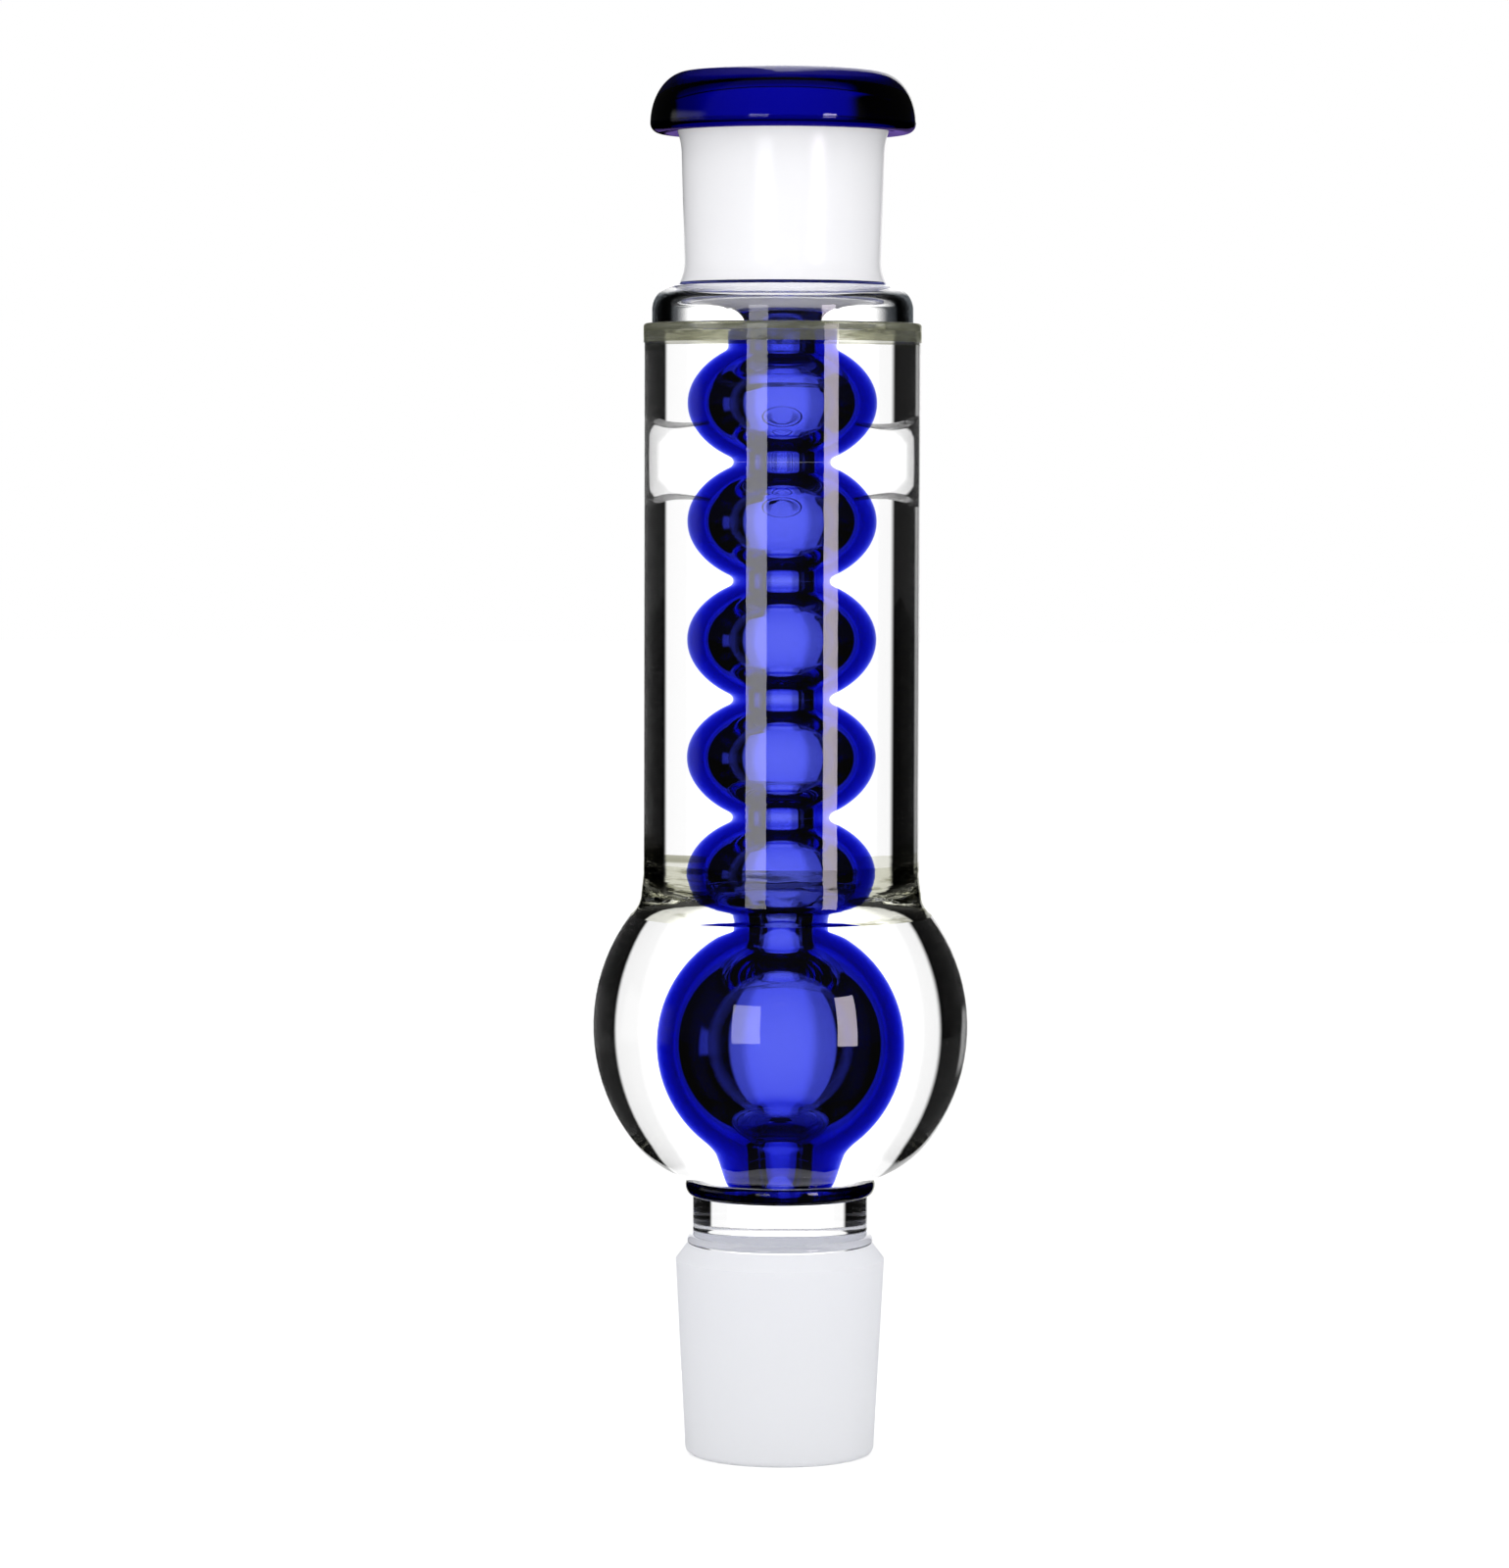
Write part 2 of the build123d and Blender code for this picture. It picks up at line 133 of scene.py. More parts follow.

# Glass colours, among them the painted shade on the lip's underside and the shoulder's corner, how
# fast cobalt glass darkens per metre, and where the tints and the painted shade come in
COBALT_TINT = (0.10, 0.18, 0.81, 1)
COBALT_DENSITY = 860
LIP_TINT = (0.16, 0.12, 0.82, 1)
LIP_DENSITY = 560
LIP_SHADE = (0.10, 0.06, 0.25, 1)
SHOULDER_SHADE = (0.10, 0.11, 0.12, 1)
SHADED_FACING = (0.36, 0.56)
UNSHADED_LEVEL = (0.55, 0.85)
PALE_SEAM = (0.80, 0.80, 0.73, 1)
OLIVE_SEAM = (0.36, 0.36, 0.27, 1)
SEAM_HAZE = (0.33, 0.34, 0.26, 1)
THICKEST_HAZE = 1.4
CONE_TRANSLUCENCE = 0.45


def heights(node):
    """Lowest and highest point of a CAD node, in millimetres."""
    low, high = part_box(node)
    return low[2] / MM, high[2] / MM


# Heights of the seams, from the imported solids
cone_bottom, cone_top = heights("ground_joint")
neck_bottom, floor_bottom = heights("lower_neck")
bulb_bottom, middle_seal_bottom = heights("jacket_bulb")
middle_seal_top, tube_top = heights("jacket_tube")
shoulder_bottom, shoulder_top = heights("jacket_shoulder")
opal_bottom, lip_bottom = heights("opal_neck")
lip_top = heights("mouth_lip")[1]
stub_bottom, funnel_bottom = heights("inlet_stub")
link_bottom, link_top = heights("link_neck")
tail_top = heights("outlet_tail")[1]
fill_level = heights("glycerine_fill")[1]
bulb_centre = middle_seal_bottom - BULB_REACH
large_bulb_centre = link_bottom - LARGE_BULB_RADIUS + LARGE_BULB_CAP
bulb_limits = [heights(f"condenser_bulb_{n + 1}") for n in range(SMALL_BULB_COUNT)]
small_bulb_centres = [(low + high) / 2 for low, high in bulb_limits]
port_height = sum(heights("fill_port_seal")) / 2


# ---------------------------------------------------------------- outlines

def arc(centre, radius, first, last):
    """Points on an arc, angles in radians."""
    count = max(2, math.ceil(abs(last - first) / ARC_STEP))
    turns = [first + (last - first) * i / count for i in range(count + 1)]
    return [(centre[0] + radius * math.cos(t), centre[1] + radius * math.sin(t)) for t in turns]


def arc_between(centre, start, end):
    """The shorter arc about a centre from one point to another."""
    first = math.atan2(start[1] - centre[1], start[0] - centre[0])
    last = math.atan2(end[1] - centre[1], end[0] - centre[0])
    turn = (last - first + math.pi) % (2 * math.pi) - math.pi
    return arc(centre, math.dist(centre, start), first, first + turn)


def tangent_arc(start, end, tangent):
    """The arc that leaves a point along a direction and ends at another point."""
    chord = (end[0] - start[0], end[1] - start[1])
    normal = (-tangent[1], tangent[0])
    along = 2 * (normal[0] * chord[0] + normal[1] * chord[1])
    reach = (chord[0]**2 + chord[1]**2) / along
    centre = (start[0] + normal[0] * reach, start[1] + normal[1] * reach)
    return arc_between(centre, start, end)


def fillet_on_tube(centre, radius, tube, fillet, side):
    """Centre and touching points of a fillet between a ball and a tube over or under it."""
    rise = side * math.sqrt((radius + fillet)**2 - (tube + fillet)**2)
    share = radius / (radius + fillet)
    middle = (tube + fillet, centre + rise)
    return middle, (middle[0] * share, centre + rise * share), (tube, centre + rise)


def fillet_between(high, low, radius, fillet):
    """Centre and touching points of the fillet in the waist between two equal balls."""
    half = (high - low) / 2
    share = radius / (radius + fillet)
    middle = (math.sqrt((radius + fillet)**2 - half**2), high - half)
    return middle, (middle[0] * share, high - half * share), (middle[0] * share, low + half * share)


def flare(radius, mouth):
    """Quarter arc that opens the string's tube into the foot of the funnel."""
    return arc((mouth, funnel_bottom - (mouth - radius)), mouth - radius, math.pi, math.pi / 2)


def trimmed(points, low, high):
    """The stretch of an outline between two heights, cut exactly at them."""
    kept = []
    for start, end in zip(points, points[1:]):
        if max(start[1], end[1]) < low or min(start[1], end[1]) > high:
            continue
        for point, other in ((start, end), (end, start)):
            if low <= point[1] <= high:
                cut = point
            else:
                level = low if point[1] < low else high
                share = (level - point[1]) / (other[1] - point[1])
                cut = (point[0] + share * (other[0] - point[0]), level)
            if not kept or math.dist(kept[-1], cut) > SAME_POINT:
                kept.append(cut)
    return kept


def jacket_outline(wall):
    """Jacket from its foot to the top of its tube, set in by a wall."""
    ball = BULB_RADIUS - wall
    reach = BULB_REACH * ball / BULB_RADIUS
    across = math.sqrt(ball**2 - reach**2)
    foot = (BULB_FOOT_RADIUS if wall == 0 else LOWER_NECK_RADIUS - LOWER_NECK_WALL, bulb_bottom)
    heel = (across, bulb_centre - reach)
    crest = (across, bulb_centre + reach)
    lean = math.acos(across / ball)
    throat_radius = TUBE_RADIUS + MIDDLE_SEAL_PROUD - wall
    throat_arc = (across - throat_radius) / (1 - math.sin(lean))
    throat = (throat_radius, crest[1] + throat_arc * math.cos(lean))
    tangent = (-math.sin(lean), -math.cos(lean))
    outline = tangent_arc(heel, foot, tangent)[::-1]
    outline += arc_between((0, bulb_centre), heel, crest)
    outline += arc_between((throat_radius + throat_arc, throat[1]), crest, throat)
    outline += [(TUBE_RADIUS - wall, throat[1] + MIDDLE_SEAL_TAPER_LENGTH),
                (TUBE_RADIUS - wall, tube_top)]
    return outline


def string_outline():
    """Outside of the bulb string, from the funnel down to the floor."""
    outline = flare(STUB_RADIUS, FUNNEL_OUTLET_RADIUS)[::-1]
    middle, ball, tube = fillet_on_tube(small_bulb_centres[0], SMALL_BULB_RADIUS, STUB_RADIUS,
                                        WAIST_FILLET, 1)
    outline += arc_between(middle, tube, ball)
    here = ball
    for high, low in zip(small_bulb_centres, small_bulb_centres[1:]):
        middle, leave, enter = fillet_between(high, low, SMALL_BULB_RADIUS, WAIST_FILLET)
        outline += arc_between((0, high), here, leave) + arc_between(middle, leave, enter)
        here = enter
    last = small_bulb_centres[-1]
    middle, leave, tube = fillet_on_tube(last, SMALL_BULB_RADIUS, LINK_RADIUS, WAIST_FILLET, -1)
    outline += arc_between((0, last), here, leave) + arc_between(middle, leave, tube)
    middle, ball, tube = fillet_on_tube(large_bulb_centre, LARGE_BULB_RADIUS, LINK_RADIUS,
                                        WAIST_FILLET, 1)
    outline += arc_between(middle, tube, ball)
    middle, leave, tube = fillet_on_tube(large_bulb_centre, LARGE_BULB_RADIUS, TAIL_RADIUS,
                                         TAIL_FILLET, -1)
    outline += arc_between((0, large_bulb_centre), ball, leave)
    outline += arc_between(middle, leave, tube) + [(TAIL_RADIUS, floor_bottom)]
    return outline


def passage_outline():
    """Inside of the bulb string, from the funnel down to the floor."""
    outline = flare(PASSAGE_RADIUS, FUNNEL_OUTLET_BORE)[::-1]
    balls = [(centre, SMALL_BULB_RADIUS - STRING_WALL) for centre in small_bulb_centres]
    balls.append((large_bulb_centre, LARGE_BULB_RADIUS - STRING_WALL))
    for centre, radius in balls:
        middle, enter, tube = fillet_on_tube(centre, radius, PASSAGE_RADIUS, PASSAGE_FILLET, 1)
        outline += arc_between(middle, tube, enter)
        swing = math.atan2(enter[1] - centre, enter[0])
        outline += arc((0, centre), radius, swing, -swing)
        middle, leave, tube = fillet_on_tube(centre, radius, PASSAGE_RADIUS, PASSAGE_FILLET, -1)
        outline += arc_between(middle, leave, tube)
    outline.append((PASSAGE_RADIUS, floor_bottom))
    return outline


# ---------------------------------------------------------------- lathe work

def select_none():
    """Nothing selected, and no object active in edit mode."""
    if bpy.context.object and bpy.context.object.mode != "OBJECT":
        bpy.ops.object.mode_set(mode="OBJECT")
    bpy.ops.object.select_all(action="DESELECT")


def without_doubles(points):
    """A closed outline with no point twice in a row."""
    kept = []
    for point in points:
        if not kept or math.dist(kept[-1], point) > SAME_POINT:
            kept.append(point)
    if math.dist(kept[0], kept[-1]) <= SAME_POINT:
        kept.pop()
    return kept


def turn(name, outline):
    """Draw a closed half section step by step and spin it into a piece of glass."""
    points = without_doubles(outline)
    select_none()
    bpy.ops.mesh.primitive_plane_add(size=MM)
    piece = bpy.context.object
    piece.name = piece.data.name = name
    bpy.ops.object.mode_set(mode="EDIT")
    bpy.ops.mesh.select_all(action="SELECT")
    bpy.ops.mesh.merge(type="CENTER")
    bpy.ops.transform.translate(value=(points[0][0] * MM, 0, points[0][1] * MM))
    for start, end in zip(points, points[1:] + points[:1]):
        step = ((end[0] - start[0]) * MM, 0, (end[1] - start[1]) * MM)
        bpy.ops.mesh.extrude_vertices_move(TRANSFORM_OT_translate={"value": step})
    bpy.ops.mesh.select_all(action="SELECT")
    bpy.ops.mesh.spin(steps=AROUND, angle=2 * math.pi, center=(0, 0, 0), axis=(0, 0, 1))
    bpy.ops.mesh.select_all(action="SELECT")
    bpy.ops.mesh.remove_doubles(threshold=1e-6)
    bpy.ops.mesh.normals_make_consistent(inside=False)
    bpy.ops.object.mode_set(mode="OBJECT")
    bpy.ops.object.shade_smooth_by_angle(angle=SHARP_EDGE)
    return piece


def mark_air(piece, meets_air):
    """Record which faces meet air. The test gets a face's radius, height and normal."""
    layer = piece.data.attributes.new(MEETS_AIR, "FLOAT", "FACE")
    for face in piece.data.polygons:
        x, y, z = face.center
        radius = math.hypot(x, y)
        outward = (face.normal.x * x + face.normal.y * y) / radius
        air = meets_air(radius / MM, z / MM, outward, face.normal.z)
        layer.data[face.index].value = 1.0 if air else 0.0


def finish_piece(piece, node, material):
    """Give a piece its finish, and let it stand for its CAD node."""
    piece.data.materials.clear()
    piece.data.materials.append(material)
    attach(piece, "root")
    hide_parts(node)


# ---------------------------------------------------------------- shader maths

class Socket:
    """An output socket that takes part in sums, products and comparisons."""

    def __init__(self, finish, socket):
        self.finish = finish
        self.socket = socket

    def maths(self, operation, *values):
        return self.finish.node("ShaderNodeMath", {"operation": operation}, *values)

    def __add__(self, other):
        return self.maths("ADD", self, other)

    def __radd__(self, other):
        return self.maths("ADD", other, self)

    def __sub__(self, other):
        return self.maths("SUBTRACT", self, other)

    def __rsub__(self, other):
        return self.maths("SUBTRACT", other, self)

    def __mul__(self, other):
        return self.maths("MULTIPLY", self, other)

    def __rmul__(self, other):
        return self.maths("MULTIPLY", other, self)

    def __abs__(self):
        return self.maths("ABSOLUTE", self)

    def __gt__(self, other):
        return self.maths("GREATER_THAN", self, other)

    def __lt__(self, other):
        return self.maths("LESS_THAN", self, other)

    def root(self):
        return self.maths("SQRT", self)

    def ramp(self, low, high):
        """0 below one value, 1 above another, smooth between."""
        return self.finish.node("ShaderNodeMapRange", {"interpolation_type": "SMOOTHSTEP"},
                                self, low, high, 0.0, 1.0)


class Finish:
    """The node tree of one material or world."""

    def __init__(self, owner):
        owner.use_nodes = True
        self.tree = owner.node_tree
        self.tree.nodes.clear()

    def node(self, kind, settings, *values, output=0, **named):
        """Add a node, make its settings, then fill or link its inputs."""
        node = self.tree.nodes.new(kind)
        for key, value in settings.items():
            setattr(node, key, value)
        inputs = list(enumerate(values)) + [(k.replace("_", " "), v) for k, v in named.items()]
        for key, value in inputs:
            if isinstance(value, Socket):
                self.tree.links.new(value.socket, node.inputs[key])
            elif value is not None:
                node.inputs[key].default_value = value
        return Socket(self, node.outputs[output]) if node.outputs else node

    def attribute(self, name):
        return self.node("ShaderNodeAttribute", {"attribute_name": name}, output="Fac")

    def place(self):
        """Object coordinates."""
        return self.node("ShaderNodeTexCoord", {}, output="Object")

    def split(self, vector):
        """The x, y and z of a vector."""
        parts = self.node("ShaderNodeSeparateXYZ", {}, vector).socket.node
        return [Socket(self, socket) for socket in parts.outputs]

    def facing(self):
        """0 where a face is seen straight on, 1 where it is seen edge on."""
        return self.node("ShaderNodeLayerWeight", {}, 0.5, output="Facing")

    def level(self):
        """1 on level tops and undersides, 0 on upright faces."""
        normal = self.node("ShaderNodeNewGeometry", {}, output="Normal")
        return abs(self.split(normal)[2])

    def path(self, kind):
        """1 for rays of one kind, such as camera rays, and 0 for the others."""
        return self.node("ShaderNodeLightPath", {}, output=f"Is {kind} Ray")

    def mix(self, factor, first, second):
        """A shader between two shaders."""
        return self.node("ShaderNodeMixShader", {}, factor, first, second)

    def blend(self, factor, first, second):
        """A colour between two colours. Inputs 1 to 5 and outputs 0 and 1 are not for colours."""
        skipped = [None] * 5
        return self.node("ShaderNodeMix", {"data_type": "RGBA"}, factor, *skipped, first, second,
                         output=2)

    def glass(self, colour, bump=None):
        """Glass whose faces bend light."""
        return self.node("ShaderNodeBsdfGlass", {}, colour, 0.0, GLASS_IOR, bump)

    def open_wall(self):
        """A face that lets every ray straight through."""
        return self.node("ShaderNodeBsdfTransparent", {}, WHITE)

    def emission(self, strength):
        return self.node("ShaderNodeEmission", {}, WHITE, strength)

    def surface(self, shader, volume=None):
        output = self.node("ShaderNodeOutputMaterial", {})
        self.tree.links.new(shader.socket, output.inputs["Surface"])
        if volume:
            self.tree.links.new(volume.socket, output.inputs["Volume"])


def new_material(name):
    material = bpy.data.materials.new(name)
    return material, Finish(material)


# ---------------------------------------------------------------- finishes

def glass_face(f, wall):
    """A wall seen only where it meets air. Light on matt parts passes straight through it."""
    bent = (1 - f.path("Diffuse")) * (1 - f.path("Shadow"))
    return f.mix(f.attribute(MEETS_AIR) * bent, f.open_wall(), wall)


def clear_glass():
    material, f = new_material("clear_glass")
    f.surface(glass_face(f, f.glass(WHITE)))
    return material


def shoulder_glass_painted_shade():
    """Clear glass with painted shade: a dark tint where the thick corner of the shoulder turns away
    from view.
    """
    material, f = new_material("shoulder_glass_painted_shade")
    # Painted shade: dark glass mixed in at grazing view angles, kept off level faces
    painted_edge_shade = f.facing().ramp(*SHADED_FACING) * (1 - f.level().ramp(*UNSHADED_LEVEL))
    f.surface(glass_face(f, f.mix(painted_edge_shade, f.glass(WHITE), f.glass(SHOULDER_SHADE))))
    return material


def seam_glass(name, olive_range, haze_share):
    """Glass worked in the flame: uneven, with olive streaks round the tube, and some haze."""
    material, f = new_material(name)
    around = f.node("ShaderNodeMapping", {}, f.place(), Scale=(90, 90, 500))
    streaks = f.node("ShaderNodeTexNoise", {}, around, Scale=1.0, Detail=3.0)
    ripple = f.node("ShaderNodeBump", {}, Strength=0.25, Distance=0.0003, Height=streaks)
    pale = f.glass(PALE_SEAM, ripple)
    olive = f.glass(OLIVE_SEAM, ripple)
    worked = f.mix(streaks.ramp(*olive_range), pale, olive)
    if haze_share:
        haze = f.node("ShaderNodeBsdfDiffuse", {}, SEAM_HAZE, 0.0, ripple)
        worked = f.mix(haze_share * (THICKEST_HAZE - streaks), worked, haze)
    f.surface(glass_face(f, worked))
    return material


def cobalt_glass():
    """Cobalt glass: clear at its faces, and blue by the depth of glass behind them."""
    material, f = new_material("cobalt_glass")
    depth = f.node("ShaderNodeVolumeAbsorption", {}, COBALT_TINT, COBALT_DENSITY)
    f.surface(glass_face(f, f.glass(WHITE)), depth)
    return material


def cobalt_lip_with_painted_shade():
    """The lip's cobalt glass: it keeps light off the neck, and has painted shade that is darkest at
    its underside.
    """
    material, f = new_material("lip_glass_with_painted_shade")
    depth = f.node("ShaderNodeVolumeAbsorption", {}, LIP_TINT, LIP_DENSITY)
    # Painted shade: the lip's faces take a dark tint towards its underside, by height
    height = f.split(f.place())[2]
    underside = 1 - height.ramp((lip_bottom + LIP_SHADE_FULL) * MM,
                                (lip_bottom + LIP_SHADE_NONE) * MM)
    wall = f.mix(underside, f.glass(WHITE), f.glass(LIP_SHADE))
    f.surface(f.mix(f.attribute(MEETS_AIR), f.open_wall(), wall), depth)
    return material


def opal_glass():
    """White opal glass with a soft gloss."""
    material, f = new_material("opal_glass")
    cloud = f.node("ShaderNodeTexNoise", {}, f.place(), Scale=90.0, Detail=2.0)
    tone = f.blend(cloud, (0.82, 0.82, 0.845, 1.0), (0.85, 0.85, 0.875, 1.0))
    f.surface(f.node("ShaderNodeBsdfPrincipled", {}, Base_Color=tone, Roughness=0.2, IOR=1.33))
    return material


def frosted_glass():
    """Ground glass: matt, pale and faintly see-through."""
    material, f = new_material("frosted_glass")
    grain = f.node("ShaderNodeTexNoise", {}, f.place(), Scale=2200.0, Detail=3.0)
    bump = f.node("ShaderNodeBump", {}, Strength=0.25, Distance=0.00005, Height=grain)
    glow = f.node("ShaderNodeBsdfTranslucent", {}, (0.94, 0.945, 0.96, 1.0), bump)
    chalk = f.node("ShaderNodeBsdfDiffuse", {}, (0.92, 0.925, 0.94, 1.0), 0.6, bump)
    f.surface(f.mix(CONE_TRANSLUCENCE, chalk, glow))
    return material


def liquid():
    """Glycerine: seen only where its surface meets the air under the shoulder."""
    material, f = new_material("glycerine")
    surface = f.split(f.place())[2] > (fill_level - SURFACE_DEPTH) * MM
    f.surface(f.mix(surface, f.open_wall(), f.glass(WHITE)))
    return material


clear = clear_glass()
shoulder_painted_shade = shoulder_glass_painted_shade()
seam = seam_glass("seam_glass", olive_range=(0.52, 0.66), haze_share=0)
upper_seam = seam_glass("upper_seam_glass", olive_range=(0.42, 0.58), haze_share=0.27)
cobalt = cobalt_glass()
lip_cobalt_painted_shade = cobalt_lip_with_painted_shade()
opal = opal_glass()
frosted = frosted_glass()
glycerine = liquid()


# ---------------------------------------------------------------- jacket

def wall_section(low, high):
    """Closed section of the jacket's wall between two heights."""
    outside = trimmed(jacket_outline(0), low, high)
    inside = trimmed(jacket_outline(JACKET_WALL), low, high)
    return outside + inside[::-1]


# Only a wall's outer face is marked where liquid wets its inside. The short walls of the
# lower neck are marked so too, because they read as one thickness of glass.
def outer_face(radius, height, outward, upward):
    return outward > SIDEWAYS


jacket_bulb = turn("clear_jacket_bulb", wall_section(bulb_bottom, middle_seal_bottom))
mark_air(jacket_bulb, outer_face)
finish_piece(jacket_bulb, "jacket_bulb", clear)

middle_seal = turn("fused_middle_seam", wall_section(middle_seal_bottom, middle_seal_top))
mark_air(middle_seal, outer_face)
finish_piece(middle_seal, "middle_seal_ring", seam)

jacket_tube = turn("clear_jacket_tube", wall_section(middle_seal_top, tube_top))
mark_air(jacket_tube, outer_face)
finish_piece(jacket_tube, "jacket_tube", clear)

seal_radius = TUBE_RADIUS + UPPER_SEAL_PROUD
rim_height = shoulder_bottom - UPPER_SEAL_ROUNDING
level_share = (fill_level - tube_top) / (shoulder_bottom - tube_top)
tube_bore = TUBE_RADIUS - JACKET_WALL
shoulder_bore = SHOULDER_RADIUS - JACKET_WALL
level_radius = tube_bore + level_share * (shoulder_bore - tube_bore)
upper_seal = turn("fused_upper_seam", [
    (tube_bore, tube_top), (seal_radius, tube_top),
    *arc((seal_radius - UPPER_SEAL_ROUNDING, rim_height), UPPER_SEAL_ROUNDING, 0, math.pi / 2),
    (shoulder_bore, shoulder_bottom), (level_radius, fill_level),
])
mark_air(upper_seal, lambda radius, height, outward, upward: (
    outward > SIDEWAYS
    or (outward < -SIDEWAYS and height > fill_level)
    or (upward > LEVEL and radius > SHOULDER_RADIUS)))
finish_piece(upper_seal, "upper_seal_ring", upper_seam)

corner_height = shoulder_top - SHOULDER_CORNER
inner_corner = SHOULDER_CORNER - JACKET_WALL
shoulder = turn("clear_shoulder", [
    (shoulder_bore, shoulder_bottom), (SHOULDER_RADIUS, shoulder_bottom),
    *arc((SHOULDER_RADIUS - SHOULDER_CORNER, corner_height), SHOULDER_CORNER, 0, math.pi / 2),
    (FUNNEL_RADIUS, shoulder_top), (FUNNEL_RADIUS, shoulder_top - JACKET_WALL),
    *arc((SHOULDER_RADIUS - SHOULDER_CORNER, corner_height), inner_corner, math.pi / 2, 0),
])
mark_air(shoulder, lambda radius, height, outward, upward: (
    height > shoulder_bottom + NUDGE and radius > FUNNEL_RADIUS + NUDGE))
finish_piece(shoulder, "jacket_shoulder", shoulder_painted_shade)

floor_bore = LOWER_NECK_RADIUS - LOWER_NECK_WALL
# The floor is the flared foot of the cobalt tube, which closes the jacket
floor_disc = turn("clear_jacket_floor", [
    (TAIL_RADIUS, floor_bottom), (floor_bore, floor_bottom),
    (floor_bore, bulb_bottom), (TAIL_RADIUS, bulb_bottom),
])
mark_air(floor_disc, lambda radius, height, outward, upward: upward < -LEVEL)
finish_piece(floor_disc, "jacket_floor", cobalt)


def bead(low_radius, high_radius, proud, low, high):
    """Section of a fused seam that stands proud between two tubes of the lower neck."""
    crown = max(low_radius, high_radius) + proud
    half = (high - low) / 2
    bulge = crown - (low_radius + high_radius) / 2
    side = []
    for i in range(BEAD_STEPS + 1):
        swing = math.pi * i / BEAD_STEPS
        straight = low_radius + (high_radius - low_radius) * i / BEAD_STEPS
        side.append((straight + bulge * math.sin(swing), low + half * (1 - math.cos(swing))))
    return side + [(floor_bore, high), (floor_bore, low)]


lower_seal = turn("fused_lower_seam", bead(
    LOWER_NECK_RADIUS, BULB_FOOT_RADIUS, LOWER_SEAL_PROUD, floor_bottom, bulb_bottom))
mark_air(lower_seal, outer_face)
finish_piece(lower_seal, "lower_seal_ring", seam)

lower_neck = turn("clear_lower_neck", [
    (floor_bore, neck_bottom), (LOWER_NECK_RADIUS, neck_bottom),
    (LOWER_NECK_RADIUS, floor_bottom), (floor_bore, floor_bottom),
])
mark_air(lower_neck, outer_face)
finish_piece(lower_neck, "lower_neck", clear)

cone_seal = turn("cone_seam", bead(
    LOWER_NECK_RADIUS + CONE_SEAL_PROUD, LOWER_NECK_RADIUS, CONE_SEAL_PROUD / 4,
    cone_top, neck_bottom))
mark_air(cone_seal, outer_face)
finish_piece(cone_seal, "cone_seal_ring", clear)


# ---------------------------------------------------------------- ground cone

bevel_bottom = cone_top - CONE_BEVEL_HEIGHT
cone_tip = CONE_LARGE_RADIUS - CONE_TAPER * bevel_bottom
ground_cone = turn("ground_cone", [
    *arc((cone_tip - CONE_TIP_ROUNDING, CONE_TIP_ROUNDING), CONE_TIP_ROUNDING, -math.pi / 2, 0),
    (CONE_LARGE_RADIUS, bevel_bottom), (LOWER_NECK_RADIUS + CONE_SEAL_PROUD, cone_top),
    (floor_bore, cone_top), (CONE_LARGE_RADIUS - CONE_WALL, bevel_bottom - CONE_BEVEL_HEIGHT / 2),
    *arc((cone_tip - CONE_WALL + CONE_TIP_ROUNDING, CONE_TIP_ROUNDING), CONE_TIP_ROUNDING,
         math.pi, 1.5 * math.pi),
])
finish_piece(ground_cone, "ground_joint", frosted)


# ---------------------------------------------------------------- opal neck and lip

neck_low = (OPAL_BORE_RADIUS + NECK_WALL - NECK_DRAW_IN / 2, opal_bottom + NECK_FLARE_HEIGHT)
neck_high = (OPAL_BORE_RADIUS + NECK_WALL + NECK_DRAW_IN / 2, lip_bottom - NECK_FLARE_HEIGHT)
neck_run = (neck_high[0] - neck_low[0], neck_high[1] - neck_low[1])
neck_length = math.hypot(*neck_run)
neck_along = (neck_run[0] / neck_length, neck_run[1] / neck_length)
neck = turn("opal_neck_tube", [
    (OPAL_BORE_RADIUS, opal_bottom),
    *tangent_arc(neck_low, (NECK_BASE_RADIUS, opal_bottom),
                 (-neck_along[0], -neck_along[1]))[::-1],
    *tangent_arc(neck_high, (NECK_TOP_RADIUS, lip_bottom), neck_along),
    (OPAL_BORE_RADIUS, lip_bottom),
])
finish_piece(neck, "opal_neck", opal)

collar_bottom = shoulder_top - JACKET_WALL
lean = math.hypot(1, FUNNEL_SLOPE)
funnel = turn("opal_funnel_dish", [
    (OPAL_BORE_RADIUS, shoulder_top), (FUNNEL_RADIUS, shoulder_top),
    *tangent_arc((FUNNEL_RADIUS, collar_bottom), (FUNNEL_OUTLET_RADIUS, funnel_bottom),
                 (-1 / lean, -FUNNEL_SLOPE / lean)),
    *tangent_arc((FUNNEL_OUTLET_BORE, funnel_bottom), (OPAL_BORE_RADIUS, shoulder_top), (1, 0)),
])
finish_piece(funnel, "opal_funnel", opal)

belly = lip_top - LIP_CROWN_HEIGHT
lip_roll = LIP_CROWN_RADIUS - OPAL_BORE_RADIUS
crown_angles = [math.pi / 2 * i / CROWN_STEPS for i in range(CROWN_STEPS + 1)]
underside = (LIP_RADIUS - LIP_CORNER, lip_bottom - LIP_DROOP)
lip = turn("rolled_lip", [
    (OPAL_BORE_RADIUS, lip_bottom),
    *tangent_arc(underside, (NECK_TOP_RADIUS, lip_bottom), (-1, 0))[::-1],
    *arc((underside[0], underside[1] + LIP_CORNER), LIP_CORNER, -math.pi / 2, 0),
    *[(LIP_CROWN_RADIUS + (LIP_RADIUS - LIP_CROWN_RADIUS) * math.cos(t),
       belly + LIP_CROWN_HEIGHT * math.sin(t)) for t in crown_angles],
    *arc((LIP_CROWN_RADIUS, lip_top - lip_roll), lip_roll, math.pi / 2, math.pi),
])
mark_air(lip, lambda radius, height, outward, upward: (
    outward > -STEEP and (radius > NECK_TOP_RADIUS or upward > 0)))
finish_piece(lip, "mouth_lip", lip_cobalt_painted_shade)

